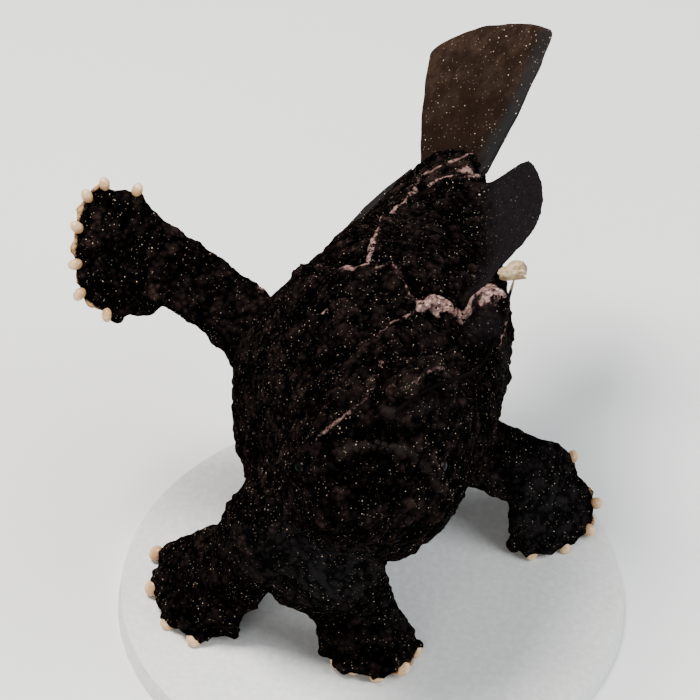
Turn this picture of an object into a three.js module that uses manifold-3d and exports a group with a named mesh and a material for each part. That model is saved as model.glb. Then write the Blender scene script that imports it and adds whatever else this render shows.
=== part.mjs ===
import * as THREE from 'three';
import Module from 'manifold-3d';
import { mergeVertices } from 'three/addons/utils/BufferGeometryUtils.js';

// Frogfish, life size, in millimetres. It walks on both pelvic fins and the left pectoral fin, the right one
// raised. The body is drawn in its own frame (X from tail root to snout, Y to its left, Z from belly to back), as
// shares of the standard length, then bent and set on the base. Z = 0 is the underside of the base.
const STANDARD_LENGTH = 110;
const GAP = 0.3;

// Base under the feet
const BASE_RADIUS = 60;
const BASE_THICKNESS = 5;
const BASE_EDGE = 1;

// Stance of the trunk, and the turns of head and tail from it, in degrees
const TRUNK = { heading: -107, pitch: 9, roll: -37, at: [5.2, 13.9, 61.6] };
const TRUNK_MIDDLE = [0.5, 0, 0.4];
const HEAD_TURN = { roll: 29, pitch: -6, yaw: 14, from: 0.6, to: 0.94 };
const TAIL_TURN = { roll: -16, pitch: 21, yaw: 11, from: 0.55, to: 0 };

// Body outline along its length: back, belly, half width and lean to the left, as shares of the standard length
const OUTLINE = [
  { at: 0, back: 0.445, belly: 0.26, half: 0.045, lean: 0 },
  { at: 0.1, back: 0.495, belly: 0.19, half: 0.08, lean: 0 },
  { at: 0.22, back: 0.565, belly: 0.1, half: 0.145, lean: 0 },
  { at: 0.36, back: 0.63, belly: 0.01, half: 0.22, lean: 0 },
  { at: 0.5, back: 0.65, belly: -0.02, half: 0.262, lean: -0.007 },
  { at: 0.64, back: 0.67, belly: -0.01, half: 0.24, lean: 0.006 },
  { at: 0.76, back: 0.69, belly: 0.045, half: 0.197, lean: 0.02 },
  { at: 0.87, back: 0.68, belly: 0.18, half: 0.18, lean: 0.019 },
  { at: 1, back: 0.645, belly: 0.31, half: 0.13, lean: -0.03 },
];
const SNOUT_END = 1.0;
const SNOUT_ROUND = 0.2;
const TAIL_END = -0.03;
const TAIL_ROUND = 0.05;
const BODY_AROUND = 38;
const BODY_ALONG = 32;

const HEAD_CUT = 0.66;
const TAIL_CUT = 0.2;

// The mouth: the lower jaw is what lies inside this ellipsoid, the lips roll along its edge. The chest bulges
// between the pelvic fins
const JAW = { centre: [1.0, 0.034, 0.52], size: [0.17, 0.142, 0.105], tilt: -17 };
const CHEST = { centre: [0.8, -0.055, 0.115], size: [0.12, 0.115, 0.14] };
const LIP = 1.5;
const LIP_REACH = 75;

// Eyes, nostrils and the worn ridges of the back, placed on the skin
const EYE_RADIUS = 2.3;
const EYE_OUT = 0.2;
const LID = 1.3;
const EYES = { eye_right: [0.909, -0.118, 0.532], eye_left: [0.875, 0.145, 0.545] };
const NOSTRILS = [[0.86, 0.012, 0.665], [0.838, 0.062, 0.66]];
const NOSTRIL = { radius: 1.3, tall: 2.2, hole: 0.55, deep: 1.4 };
const RIDGES = [
  {
    half: 1.7,
    high: 1.7,
    line: [[0.435, 0.04, 0.64], [0.52, 0.012, 0.653], [0.535, -0.02, 0.654], [0.525, -0.065, 0.644],
      [0.6, -0.1, 0.637], [0.69, -0.1, 0.65], [0.75, -0.067, 0.673]],
  },
  {
    half: 1.6,
    high: 1.5,
    line: [[0.485, -0.185, 0.556], [0.404, -0.185, 0.527], [0.34, -0.175, 0.497], [0.24, -0.148, 0.42],
      [0.177, -0.116, 0.394], [0.12, -0.088, 0.379], [0.09, -0.075, 0.365]],
  },
];
// The larger warts: place on the straight body and radius in millimetres
const WARTS = [
  [[0.491, -0.244, 0.434], 2.6], [[0.504, -0.143, 0.596], 2.4], [[0.585, -0.2, 0.53], 2],
  [[0.695, -0.182, 0.545], 2.2], [[0.626, -0.233, 0.424], 2.2], [[0.73, -0.205, 0.399], 1.9],
  [[0.356, -0.128, 0.57], 2.2], [[0.182, -0.075, 0.501], 2], [[0.767, 0.131, 0.608], 2],
  [[0.7, 0.16, 0.58], 2.1], [[0.827, -0.097, 0.643], 2.1], [[0.788, -0.163, 0.543], 1.8],
  [[0.746, 0.171, 0.533], 1.8], [[0.45, 0.2, 0.5], 2.4],
];
const WART_SUNK = 0.35;

const COLOURS = {
  skin: 0x1b1412,
  fin: 0x2a1c16,
  pale: 0xd8b48e,
  eye: 0x2b241a,
  base: 0xd9d6cf,
};

const wasm = await Module();
wasm.setup();
const rad = THREE.MathUtils.degToRad;
const { lerp, clamp, smoothstep } = THREE.MathUtils;

const skin = () => new THREE.MeshStandardMaterial({ color: COLOURS.skin, roughness: 0.75, metalness: 0 });
const finSkin = () => new THREE.MeshStandardMaterial({ color: COLOURS.fin, roughness: 0.6, metalness: 0 });
const paleSkin = () => new THREE.MeshStandardMaterial({ color: COLOURS.pale, roughness: 0.6, metalness: 0 });
const eyeball = () => new THREE.MeshStandardMaterial({ color: COLOURS.eye, roughness: 0.2, metalness: 0 });
const plinth = () => new THREE.MeshStandardMaterial({ color: COLOURS.base, roughness: 0.8, metalness: 0 });

// A smooth value through the outline's stations
function outline(key, at) {
  const last = OUTLINE.length - 1;
  const here = clamp(at, OUTLINE[0].at, OUTLINE[last].at);
  let i = 0;
  while (i < last - 1 && OUTLINE[i + 1].at < here) i += 1;
  const slope = (k) => {
    const a = OUTLINE[Math.max(k - 1, 0)];
    const b = OUTLINE[Math.min(k + 1, last)];
    return (b[key] - a[key]) / (b.at - a.at);
  };
  const [p, q] = [OUTLINE[i], OUTLINE[i + 1]];
  const span = q.at - p.at;
  const t = (here - p.at) / span;
  const [t2, t3] = [t * t, t * t * t];
  return (2 * t3 - 3 * t2 + 1) * p[key] + (t3 - 2 * t2 + t) * span * slope(i)
    + (3 * t2 - 2 * t3) * q[key] + (t3 - t2) * span * slope(i + 1);
}

// The spine: where each station's frame lies after head and tail have turned
function turnAt(at) {
  const head = smoothstep(at, HEAD_TURN.from, HEAD_TURN.to);
  const tail = 1 - smoothstep(at, TAIL_TURN.to, TAIL_TURN.from);
  const turn = new THREE.Vector3(
    rad(head * HEAD_TURN.roll + tail * TAIL_TURN.roll),
    rad(head * HEAD_TURN.pitch + tail * TAIL_TURN.pitch),
    rad(head * HEAD_TURN.yaw + tail * TAIL_TURN.yaw),
  );
  const angle = turn.length();
  if (angle === 0) return new THREE.Quaternion();
  return new THREE.Quaternion().setFromAxisAngle(turn.normalize(), angle);
}

const SPINE_FROM = -0.5;
const SPINE_TO = 1.3;
const SPINE_STEPS = 360;
const spineStep = (SPINE_TO - SPINE_FROM) / SPINE_STEPS;
const spine = [];
for (let i = 0; i <= SPINE_STEPS; i += 1) {
  const turn = turnAt(SPINE_FROM + i * spineStep);
  const point = new THREE.Vector3();
  if (i > 0) {
    const halfway = turnAt(SPINE_FROM + (i - 0.5) * spineStep);
    const along = new THREE.Vector3(spineStep, 0, 0).applyQuaternion(halfway);
    point.copy(spine[i - 1].point).add(along);
  }
  spine.push({ point, turn });
}
const middle = spine[Math.round((TRUNK_MIDDLE[0] - SPINE_FROM) / spineStep)].point.clone();

const trunkTurn = new THREE.Quaternion().setFromEuler(
  new THREE.Euler(rad(TRUNK.roll), rad(TRUNK.pitch), rad(TRUNK.heading), 'ZYX'),
);

// From shares of the standard length on the straight body to the model, in millimetres
function onFish(x, y, z) {
  const step = clamp((x - SPINE_FROM) / spineStep, 0, SPINE_STEPS - 1e-6);
  const i = Math.floor(step);
  const centre = spine[i].point.clone().lerp(spine[i + 1].point, step - i).sub(middle);
  const turn = spine[i].turn.clone().slerp(spine[i + 1].turn, step - i);
  const across = new THREE.Vector3(0, y, z - TRUNK_MIDDLE[2]).applyQuaternion(turn);
  return centre.add(across).multiplyScalar(STANDARD_LENGTH).applyQuaternion(trunkTurn)
    .add(new THREE.Vector3(...TRUNK.at));
}

// Turn a direction of the straight body into one of the model
function alongFish(x, y, z, direction) {
  const tip = onFish(x + direction[0] * 0.01, y + direction[1] * 0.01, z + direction[2] * 0.01);
  return tip.sub(onFish(x, y, z)).normalize();
}

// Closed meshes and solids
function facingOut(geometry) {
  const bare = new THREE.BufferGeometry();
  bare.setAttribute('position', geometry.getAttribute('position').clone());
  if (geometry.index) bare.setIndex(geometry.index.clone());
  const merged = mergeVertices(bare, 1e-4);
  const at = merged.getAttribute('position');
  const index = Array.from(merged.index.array);
  const [a, b, c] = [new THREE.Vector3(), new THREE.Vector3(), new THREE.Vector3()];
  const kept = [];
  let volume = 0;
  for (let i = 0; i < index.length; i += 3) {
    const [i0, i1, i2] = [index[i], index[i + 1], index[i + 2]];
    if (i0 === i1 || i1 === i2 || i2 === i0) continue;
    kept.push(i0, i1, i2);
    a.fromBufferAttribute(at, i0);
    b.fromBufferAttribute(at, i1);
    c.fromBufferAttribute(at, i2);
    volume += a.dot(b.cross(c));
  }
  if (volume < 0) {
    for (let i = 0; i < kept.length; i += 3) [kept[i + 1], kept[i + 2]] = [kept[i + 2], kept[i + 1]];
  }
  merged.setIndex(kept);
  return merged;
}

function solid(geometry) {
  const closed = facingOut(geometry);
  return new wasm.Manifold(new wasm.Mesh({
    numProp: 3,
    vertProperties: new Float32Array(closed.getAttribute('position').array),
    triVerts: new Uint32Array(closed.index.array),
  }));
}

function largest(shape) {
  let best = null;
  for (const piece of shape.decompose()) {
    if (!best || piece.volume() > best.volume()) best = piece;
  }
  return best;
}

function toMesh(name, shape, material) {
  const cut = largest(shape).getMesh();
  const geometry = new THREE.BufferGeometry();
  geometry.setAttribute('position', new THREE.BufferAttribute(new Float32Array(cut.vertProperties), 3));
  geometry.setIndex(new THREE.BufferAttribute(new Uint32Array(cut.triVerts), 1));
  geometry.computeVertexNormals();
  const mesh = new THREE.Mesh(geometry, material);
  mesh.name = name;
  return mesh;
}

// A closed skin: place(around, along) puts every point, both running from 0 to 1
function shell(around, along, place) {
  const geometry = new THREE.SphereGeometry(1, around, along);
  const at = geometry.getAttribute('position');
  const uv = geometry.getAttribute('uv');
  for (let i = 0; i < at.count; i += 1) {
    const row = Math.round((1 - uv.getY(i)) * along);
    const pole = row === 0 || row === along;
    const column = pole ? 0 : Math.round(uv.getX(i) * around) % around;
    const point = place(column / around, row / along);
    at.setXYZ(i, point.x, point.y, point.z);
  }
  return geometry;
}

// A thick sheet: place(u, v, face) puts every point, face being 1 or -1, both faces split alike
function sheet(across, up, place) {
  const points = [];
  const index = [];
  const row = across + 1;
  const back = row * (up + 1);
  for (const face of [1, -1]) {
    for (let j = 0; j <= up; j += 1) {
      for (let i = 0; i <= across; i += 1) points.push(...place(i / across, j / up, face).toArray());
    }
  }
  for (let j = 0; j < up; j += 1) {
    for (let i = 0; i < across; i += 1) {
      const [a, b] = [j * row + i, j * row + i + 1];
      const [c, d] = [a + row, b + row];
      index.push(a, b, d, a, d, c);
      index.push(a + back, d + back, b + back, a + back, c + back, d + back);
    }
  }
  const rim = [];
  for (let i = 0; i < across; i += 1) rim.push(i);
  for (let j = 0; j < up; j += 1) rim.push(j * row + across);
  for (let i = across; i > 0; i -= 1) rim.push(up * row + i);
  for (let j = up; j > 0; j -= 1) rim.push(j * row);
  rim.forEach((a, k) => {
    const b = rim[(k + 1) % rim.length];
    index.push(a, a + back, b + back, a, b + back, b);
  });
  const geometry = new THREE.BufferGeometry();
  geometry.setAttribute('position', new THREE.Float32BufferAttribute(points, 3));
  geometry.setIndex(index);
  return geometry;
}

// A round or flat limb along a curve, with its half widths across the curve
function limb({ curve, side, wide, thick, around, along, blunt = 0.08, square = 2 }) {
  return shell(around, along, (turn, along01) => {
    const t = (1 - Math.cos(Math.PI * along01)) / 2;
    const centre = curve.getPoint(t);
    const ahead = curve.getTangent(t);
    const across = side.clone().addScaledVector(ahead, -side.dot(ahead)).normalize();
    const over = new THREE.Vector3().crossVectors(ahead, across);
    const near = clamp(1 - Math.min(t, 1 - t) / blunt, 0, 1);
    const round = (1 - near ** square) ** (1 / square);
    const angle = 2 * Math.PI * turn;
    return centre.addScaledVector(across, round * wide(t) * Math.cos(angle))
      .addScaledVector(over, round * thick(t) * Math.sin(angle));
  });
}

// The trunk's skin, grown outwards by a distance in millimetres
function bodySkin(grown) {
  const extra = grown / STANDARD_LENGTH;
  return shell(BODY_AROUND, BODY_ALONG, (turn, along01) => {
    const from = TAIL_END - extra;
    const to = SNOUT_END + extra;
    const x = lerp(from, to, (1 - Math.cos(Math.PI * along01)) / 2);
    const front = clamp((x - (to - SNOUT_ROUND)) / SNOUT_ROUND, 0, 1);
    const rear = clamp(((from + TAIL_ROUND) - x) / TAIL_ROUND, 0, 1);
    const round = Math.sqrt(1 - front * front) * Math.sqrt(1 - rear * rear);
    const [back, belly] = [outline('back', x), outline('belly', x)];
    const centre = (back + belly) / 2;
    const half = (outline('half', x) + extra) * round;
    const tall = ((back - belly) / 2 + extra) * round;
    const angle = 2 * Math.PI * turn;
    return onFish(x, outline('lean', x) + half * Math.sin(angle), centre + tall * Math.cos(angle));
  });
}

// A point of the skin: x along the body and an angle round it from the back, in degrees
function onSkin(x, angle) {
  const front = clamp((x - (SNOUT_END - SNOUT_ROUND)) / SNOUT_ROUND, 0, 1);
  const round = Math.sqrt(1 - front * front);
  const [back, belly] = [outline('back', x), outline('belly', x)];
  const y = outline('lean', x) + outline('half', x) * round * Math.sin(rad(angle));
  return [x, y, (back + belly) / 2 + ((back - belly) / 2) * round * Math.cos(rad(angle))];
}

// A roll of flesh along a line of the straight body
function roll(line, half, high, grown = 0) {
  const curve = new THREE.CatmullRomCurve3(line.map((p) => onFish(...p)));
  const core = onFish(line[0][0], 0, TRUNK_MIDDLE[2]);
  const out = curve.getPoint(0).sub(core).normalize();
  return solid(limb({
    curve,
    side: out,
    wide: () => high + grown,
    thick: () => half + grown,
    around: 6,
    along: Math.round(line.length * 1.6),
    blunt: 0.12,
  }));
}

// The mouth's line: where the skin meets the jaw's ellipsoid
function inJaw([x, y, z]) {
  const { centre, size, tilt } = JAW;
  const level = new THREE.Vector3(x, y, z).sub(new THREE.Vector3(...centre))
    .applyAxisAngle(new THREE.Vector3(1, 0, 0), rad(-tilt));
  return Math.hypot(level.x / size[0], level.y / size[1], level.z / size[2]) < 1;
}

function mouthPoint(angle) {
  let [low, high] = [SNOUT_END - 1.2 * SNOUT_ROUND, SNOUT_END];
  for (let i = 0; i < 24; i += 1) {
    const x = (low + high) / 2;
    if (inJaw(onSkin(x, angle))) high = x;
    else low = x;
  }
  return onSkin(high, angle);
}
const mouthLine = [];
for (let i = 0; i <= 12; i += 1) mouthLine.push(mouthPoint(lerp(-LIP_REACH, LIP_REACH, i / 12)));

// An ellipsoid of the straight body, grown outwards by a distance in millimetres
function blob({ centre, size, tilt = 0 }, grown) {
  const geometry = new THREE.SphereGeometry(1, 18, 11);
  const extra = grown / STANDARD_LENGTH;
  geometry.scale(size[0] + extra, size[1] + extra, size[2] + extra).rotateX(rad(tilt)).translate(...centre);
  const at = geometry.getAttribute('position');
  for (let i = 0; i < at.count; i += 1) {
    const point = onFish(at.getX(i), at.getY(i), at.getZ(i));
    at.setXYZ(i, point.x, point.y, point.z);
  }
  return solid(geometry);
}
const jawSolid = (grown) => blob(JAW, grown);

function ball(centre, radius, around = 12, along = 8) {
  return solid(new THREE.SphereGeometry(radius, around, along).translate(...centre.toArray()));
}

// All that lies ahead of a point, from a distance past it
function halfSpace(point, ahead, from) {
  const turn = new THREE.Quaternion().setFromUnitVectors(new THREE.Vector3(0, 0, 1), ahead);
  return solid(new THREE.BoxGeometry(160, 160, 80).translate(0, 0, 40 + from).applyQuaternion(turn)
    .translate(...point.toArray()));
}

// A round rod through a point along a direction
function rod(centre, direction, radius, from, to) {
  const turn = new THREE.Quaternion().setFromUnitVectors(new THREE.Vector3(0, 1, 0), direction);
  const middle01 = centre.clone().addScaledVector(direction, (from + to) / 2);
  return solid(new THREE.CylinderGeometry(radius, radius, to - from, 14)
    .applyQuaternion(turn).translate(...middle01.toArray()));
}

function skinOut([x, y, z]) {
  const at = clamp(x, 0, SNOUT_END - 0.5 * SNOUT_ROUND);
  const centre = (outline('back', at) + outline('belly', at)) / 2;
  return onFish(x, y, z).sub(onFish(at - 0.05, outline('lean', at), centre)).normalize();
}

const eyes = Object.entries(EYES).map(([name, at]) => {
  const out = skinOut(at);
  return { name, out, centre: onFish(...at).addScaledVector(out, EYE_OUT - EYE_RADIUS / 2) };
});

function bodySolid(grown) {
  let shape = solid(bodySkin(grown));
  shape = shape.add(blob(CHEST, grown)).add(roll(mouthLine, LIP, LIP, grown));
  for (const { line, half, high } of RIDGES) shape = shape.add(roll(line, half, high, grown));
  for (const [at, radius] of WARTS) {
    shape = shape.add(ball(onFish(...at).addScaledVector(skinOut(at), -WART_SUNK * radius), radius + grown, 7, 5));
  }
  for (const { centre } of eyes) shape = shape.add(ball(centre, EYE_RADIUS + LID + grown));
  for (const at of NOSTRILS) {
    const { radius, tall } = NOSTRIL;
    shape = shape.add(rod(onFish(...at), skinOut(at), radius + grown, -tall, tall / 2 + grown));
  }
  return shape;
}

const bodyRoom = bodySolid(GAP);
let body = bodySolid(0);
for (const at of NOSTRILS) {
  const [centre, out] = [onFish(...at), skinOut(at)];
  body = body.subtract(rod(centre, out, NOSTRIL.hole, NOSTRIL.tall / 2 - NOSTRIL.deep, NOSTRIL.tall));
}
for (const { centre, out } of eyes) {
  body = body.subtract(ball(centre, EYE_RADIUS + GAP));
  body = body.subtract(rod(centre, out, EYE_RADIUS * 0.86, 0, 3 * EYE_RADIUS));
}

function slab(from, to) {
  const geometry = new THREE.BoxGeometry(to - from, 2, 2, 4, 4, 4);
  const at = geometry.getAttribute('position');
  for (let i = 0; i < at.count; i += 1) {
    const point = onFish(at.getX(i) + (from + to) / 2, at.getY(i), at.getZ(i) + TRUNK_MIDDLE[2]);
    at.setXYZ(i, point.x, point.y, point.z);
  }
  return solid(geometry);
}

// Limbs: an arm from inside the body to the wrist, then a webbed fan of rays whose tips end in bulbs
const LIMBS = {
  pectoral_fin_right: {
    root: [0.56, -0.1, 0.2],
    exit: [0.465, -0.25, 0.172],
    wrist: [-43.5, 37.6, 67],
    side: [0.02, 0.66, 0.75],
    tips: [[-54.3, 49.6, 82], [-64.5, 50.4, 82.4], [-68.4, 44.6, 76.1], [-68.7, 38.4, 68.7], [-66.2, 33.6, 63],
      [-60, 31, 60]],
    toes: 7,
    toe: 1.25,
    lift: 0,
    flare: 0,
    half: { root: 8.4, wrist: 8.2 },
    thick: { root: 6, wrist: 4.2 },
  },
  pectoral_fin_left: {
    root: [0.5, 0.1, 0.22],
    exit: [0.47, 0.24, 0.25],
    wrist: [36, 19.5, 23],
    side: [0.62, 0.6, 0.5],
    tips: [[48, 31.5, 14], [53.4, 24.6, 7.5], [51.4, 14.8, 6.6], [45, 8.9, 6.6], [38, 7.4, 6.6],
      [33.8, 10, 6.6]],
    toes: 7,
    toe: 1.25,
    lift: 4,
    flare: 0.8,
    half: { root: 6.8, wrist: 8.4 },
    thick: { root: 5.5, wrist: 4.4 },
  },
  pelvic_fin_right: {
    root: [0.78, -0.06, 0.26],
    exit: [0.82, -0.14, 0.19],
    wrist: [-31, -8.8, 18.5],
    side: [-0.25, 0.97, 0],
    tips: [[-50.2, 7, 6.8], [-51, -3.9, 6.8], [-47, -14.9, 6.8], [-40, -20.4, 6.8], [-31.5, -19.4, 6.8]],
    toes: 5,
    toe: 1.5,
    lift: 4,
    flare: 2.4,
    half: { root: 15, wrist: 12 },
    thick: { root: 9, wrist: 6 },
  },
  pelvic_fin_left: {
    root: [0.85, -0.02, 0.27],
    exit: [0.885, 0, 0.16],
    wrist: [-4.2, -20.2, 16.5],
    side: [-1, -0.1, 0],
    tips: [[-11.2, -25.4, 6.8], [-5.8, -30.6, 6.8], [1.6, -32.6, 6.8], [7.4, -29.8, 6.8], [10.6, -23.4, 6.8]],
    toes: 5,
    toe: 1.4,
    lift: 3,
    flare: 0.5,
    half: { root: 10, wrist: 9.6 },
    thick: { root: 8, wrist: 5.5 },
  },
};
const ARM_ROWS = 6;
const FAN_ROWS = 5;
const LIMB_COLUMNS = 16;
const FAN_EDGE = 0.7;
const FAN_RIDGE = 0.6;
const TOE = { back: 2.2, out: 1.1 };

const vec = (p) => new THREE.Vector3(...p);

// The fan's middle surface, from the wrist to the arc of the tips
function fanMiddle({ side, wrist, arc, half, lift, flare }) {
  return (u, w) => {
    const from = wrist.clone().addScaledVector(side, half.wrist * (1 - 2 * u));
    const to = arc.getPoint(clamp(u, 0, 1));
    const bend = from.clone().lerp(to, 0.5).addScaledVector(side, flare * (1 - 2 * u))
      .add(new THREE.Vector3(0, 0, lift));
    return new THREE.QuadraticBezierCurve3(from, bend, to).getPoint(clamp(w, 0, 1));
  };
}

// A limb in one skin: an arm along its curve that flattens into a webbed fan, its rays raised in both faces
function limbPlace({ curve, side, middle, half, thick, toes, grown }) {
  const armShare = ARM_ROWS / (ARM_ROWS + FAN_ROWS);
  return (u, v, face) => {
    const [level, upright] = [Math.cos(Math.PI * u), Math.sin(Math.PI * u)];
    if (v <= armShare) {
      const t = v / armShare;
      const ahead = curve.getTangent(t);
      const across = side.clone().addScaledVector(ahead, -side.dot(ahead)).normalize();
      const over = new THREE.Vector3().crossVectors(ahead, across);
      const wide = lerp(half.root, half.wrist, smoothstep(t, 0, 0.9)) + grown;
      const tall = lerp(thick.root, thick.wrist, smoothstep(t, 0, 0.9)) + grown;
      return curve.getPoint(t).addScaledVector(across, wide * level)
        .addScaledVector(over, face * tall * upright);
    }
    const w = (v - armShare) / (1 - armShare);
    const share = lerp((1 - level) / 2, u, smoothstep(w, 0, 0.5));
    const across = middle(Math.min(share + 0.02, 1), w).sub(middle(Math.max(share - 0.02, 0), w));
    const along = middle(share, w + 0.02).sub(middle(share, w - 0.02));
    const over = across.clone().cross(along).normalize();
    const ridge = FAN_RIDGE * (0.5 + 0.5 * Math.cos(2 * Math.PI * (toes - 1) * u)) * smoothstep(w, 0, 0.4);
    const edge = Math.max(Math.sqrt(1 - level ** 6), 0.3);
    const web = lerp(thick.wrist * 0.9, FAN_EDGE, smoothstep(w, 0, 0.7)) * edge;
    const wall = lerp(thick.wrist * upright, web + ridge * (1.2 - 0.6 * w), smoothstep(w, 0, 0.45)) + grown;
    return middle(share, w).addScaledVector(across.normalize(), -grown * level)
      .addScaledVector(over, face * wall);
  };
}

function limbSolid(spec, grown = 0) {
  const side = vec(spec.side).normalize();
  const wrist = vec(spec.wrist);
  const arc = new THREE.CatmullRomCurve3(spec.tips.map(vec), false, 'centripetal');
  const line = [onFish(...spec.root), onFish(...spec.exit), wrist];
  const curve = new THREE.CatmullRomCurve3(line, false, 'centripetal');
  const middle = fanMiddle({ ...spec, side, wrist, arc });
  const columns = Math.ceil(LIMB_COLUMNS / (spec.toes - 1)) * (spec.toes - 1);
  const place = limbPlace({ ...spec, curve, side, middle, grown });
  const pieces = [solid(sheet(columns, ARM_ROWS + FAN_ROWS, place))];
  for (let i = 0; i < spec.toes; i += 1) {
    const share = i / (spec.toes - 1);
    const tip = middle(share, 1);
    const out = tip.clone().sub(middle(share, 0.85)).normalize();
    pieces.push(solid(limb({
      curve: new THREE.LineCurve3(
        tip.clone().addScaledVector(out, -TOE.back), tip.clone().addScaledVector(out, TOE.out),
      ),
      side: new THREE.Vector3().crossVectors(out, new THREE.Vector3(0.1, 0.1, 1)).normalize(),
      wide: () => spec.toe + grown,
      thick: () => spec.toe + grown,
      around: 6,
      along: 4,
      blunt: 0.5,
    })));
  }
  return { shape: wasm.Manifold.union(pieces), wrist, ahead: curve.getTangent(1) };
}

// Median fins: a membrane between rays, its root sunk in the body
const FIN_ROOT = 1.4;
const FIN_MARGIN = 0.7;
const RAY_RIDGE = 0.45;

function finSolid({ rays, up, root, margin, sway = () => 0, bulge = () => 0 }) {
  const across = rays * 3;
  return solid(sheet(across, up, (u, v, face) => {
    const [x0, z0] = root(u);
    const [x1, z1] = margin(u);
    const ridge = RAY_RIDGE * (0.5 - 0.5 * Math.cos(2 * Math.PI * rays * u)) * (1 - v * 0.6);
    const half = (lerp(FIN_ROOT, FIN_MARGIN, v) / 2 + ridge) / STANDARD_LENGTH;
    const z = lerp(z0, z1, v) + bulge(u) * Math.sin(Math.PI * v);
    return onFish(lerp(x0, x1, v), sway(u, v) + face * half, z);
  }));
}

const dorsalFin = finSolid({
  rays: 12,
  up: 4,
  root: (u) => [lerp(0.54, 0.08, u), outline('back', lerp(0.54, 0.08, u)) - 0.05],
  margin: (u) => {
    const rise = 0.06 + 0.072 * smoothstep(u, 0.05, 0.8) - 0.036 * u ** 9;
    return [lerp(0.52, -0.04, u ** 0.9) + 0.03 * u ** 8, outline('back', lerp(0.54, 0.08, u)) + rise];
  },
});
const analFin = finSolid({
  rays: 7,
  up: 4,
  root: (u) => [lerp(0.42, 0.07, u), outline('belly', lerp(0.42, 0.07, u)) + 0.04],
  margin: (u) => {
    const drop = 0.09 * Math.sin(Math.PI * clamp(u + 0.08, 0, 1)) ** 0.6;
    return [lerp(0.38, 0, u), outline('belly', lerp(0.42, 0.07, u)) - drop];
  },
});
const caudalFin = finSolid({
  rays: 9,
  up: 6,
  root: (u) => [0.03, lerp(0.26, 0.46, u)],
  margin: (u) => {
    const corners = 0.055 * (1 - u) ** 6 + 0.03 * u ** 6;
    return [corners - 0.35 - 0.005 * Math.sin(Math.PI * u), lerp(0.11, 0.505, u)];
  },
  bulge: (u) => lerp(-0.012, 0.012, u),
});

// Spines of the head, and the lure laid back along their left side
const ROD_RADIUS = 0.45;
const BAIT = [2.6, 2, 2.2];
const BAIT_AT = [0.385, 0.024, 0.732];
function spineSolid(points, wide, thick) {
  const curve = new THREE.CatmullRomCurve3(points.map((p) => onFish(...p)));
  return solid(limb({
    curve,
    side: alongFish(...points[0], [0, 1, 0]),
    wide,
    thick,
    around: 12,
    along: 12,
    blunt: 0.15,
  }));
}
const spineTwo = spineSolid(
  [[0.83, 0.01, 0.6], [0.825, 0.01, 0.69], [0.785, 0.015, 0.735], [0.73, 0.025, 0.745]],
  (t) => lerp(2.2, 1.5, t),
  (t) => lerp(3.2, 1.7, t),
);
const spineThree = spineSolid(
  [[0.63, 0.02, 0.59], [0.61, 0.02, 0.69], [0.555, 0.015, 0.745], [0.495, 0.005, 0.76]],
  (t) => lerp(4.2, 2.6, t),
  (t) => lerp(5.6, 2.8, t),
);
const lureLine = [
  [0.872, 0.034, 0.6], [0.87, 0.036, 0.69], [0.8, 0.052, 0.715], [0.7, 0.064, 0.696], [0.6, 0.07, 0.684],
  [0.5, 0.06, 0.702], [0.4, 0.03, 0.73],
];
const lure = spineSolid(lureLine, () => ROD_RADIUS, () => ROD_RADIUS)
  .add(solid(new THREE.SphereGeometry(1, 10, 7).scale(...BAIT).translate(...onFish(...BAIT_AT).toArray())));

// Everything is cut clear of what it grows from, and the body is parted with thin cuts
const halfGap = GAP / 2 / STANDARD_LENGTH;
const base = new THREE.CylinderGeometry(BASE_RADIUS - BASE_EDGE, BASE_RADIUS, BASE_THICKNESS, 56)
  .rotateX(Math.PI / 2).translate(0, 0, BASE_THICKNESS / 2);
const floorRoom = solid(new THREE.BoxGeometry(400, 400, 60).translate(0, 0, BASE_THICKNESS + GAP - 30));

const limbs = {};
for (const [name, spec] of Object.entries(LIMBS)) {
  const { shape, wrist, ahead } = limbSolid(spec);
  let clear = shape.subtract(floorRoom).subtract(bodyRoom);
  if (name === 'pelvic_fin_left') clear = clear.subtract(limbSolid(LIMBS.pelvic_fin_right, GAP).shape);
  limbs[name.replace('fin', 'arm')] = clear.subtract(halfSpace(wrist, ahead, -GAP / 2));
  limbs[name] = clear.intersect(halfSpace(wrist, ahead, GAP / 2));
}

const head = body.intersect(slab(HEAD_CUT + halfGap, 1.25)).subtract(jawSolid(GAP));
let jaw = body.intersect(jawSolid(0));
for (const { centre } of eyes) jaw = jaw.subtract(ball(centre, EYE_RADIUS + LID + GAP));
const torso = body.intersect(slab(TAIL_CUT + halfGap, HEAD_CUT - halfGap));
const tail = body.intersect(slab(-0.3, TAIL_CUT - halfGap));

const group = new THREE.Group();
group.add(toMesh('head', head, skin()));
group.add(toMesh('lower_jaw', jaw, skin()));
group.add(toMesh('torso', torso, skin()));
group.add(toMesh('tail', tail, skin()));
for (const [name, shape] of Object.entries(limbs)) group.add(toMesh(name, shape, finSkin()));
group.add(toMesh('dorsal_fin', dorsalFin.subtract(bodyRoom), finSkin()));
group.add(toMesh('anal_fin', analFin.subtract(bodyRoom), finSkin()));
group.add(toMesh('caudal_fin', caudalFin.subtract(bodyRoom), finSkin()));
group.add(toMesh('dorsal_spine_second', spineTwo.subtract(bodyRoom), skin()));
group.add(toMesh('dorsal_spine_third', spineThree.subtract(bodyRoom), skin()));
group.add(toMesh('lure', lure.subtract(bodyRoom), paleSkin()));
for (const { name, centre } of eyes) group.add(toMesh(name, ball(centre, EYE_RADIUS), eyeball()));
group.add(toMesh('stand_base', solid(base), plinth()));

export default group;
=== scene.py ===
import math

import bpy
import numpy as np
from bpy.props import FloatProperty, FloatVectorProperty, IntProperty, PointerProperty
from mathutils import Matrix, Vector, noise
from mathutils.bvhtree import BVHTree
from mathutils.kdtree import KDTree


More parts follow.
